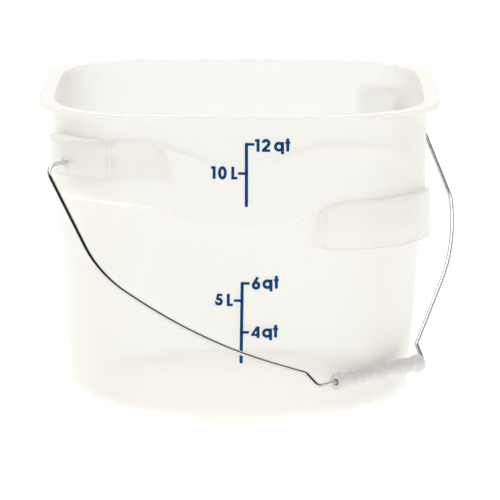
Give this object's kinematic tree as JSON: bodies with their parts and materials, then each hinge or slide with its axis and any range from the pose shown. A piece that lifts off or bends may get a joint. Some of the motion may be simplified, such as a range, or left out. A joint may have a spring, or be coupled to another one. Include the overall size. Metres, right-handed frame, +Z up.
{
  "type": "food storage container",
  "caption": "Open-top food storage pail with a square flanged rim, a round tapered body, moulded hand holds and a swinging wire bail with a turning plastic grip.",
  "frame": {"origin": "middle of the flat base's underside, on the surface that the pail stands on", "axes": "+Z up through the open mouth; -Y towards the front face; the bail's pivot axis runs along +X +Y and the bail hangs towards +X -Y"},
  "size_m": [0.3053, 0.3219, 0.226],
  "materials": {
    "pail_plastic": "satin, milky and translucent",
    "bright_wire": "bright drawn",
    "grip_plastic": "satin"
  },
  "bodies": {
    "pail_body": {"pail_body": "pail_plastic"},
    "bail": {"bail": "bright_wire"},
    "grip": {"grip": "grip_plastic"}
  },
  "joints": [
    {"name": "bail_swing", "type": "hinge", "parent": "pail_body", "child": "bail", "pos_m": [0, 0, 0.19], "axis": [-0.7071, -0.7071, 0], "range_deg": [0, 279]},
    {"name": "grip_spin", "type": "hinge", "parent": "bail", "child": "grip", "pos_m": [0.09473, -0.09473, 0.03242], "axis": [0.7071, 0.7071, 0], "continuous": true}
  ]
}
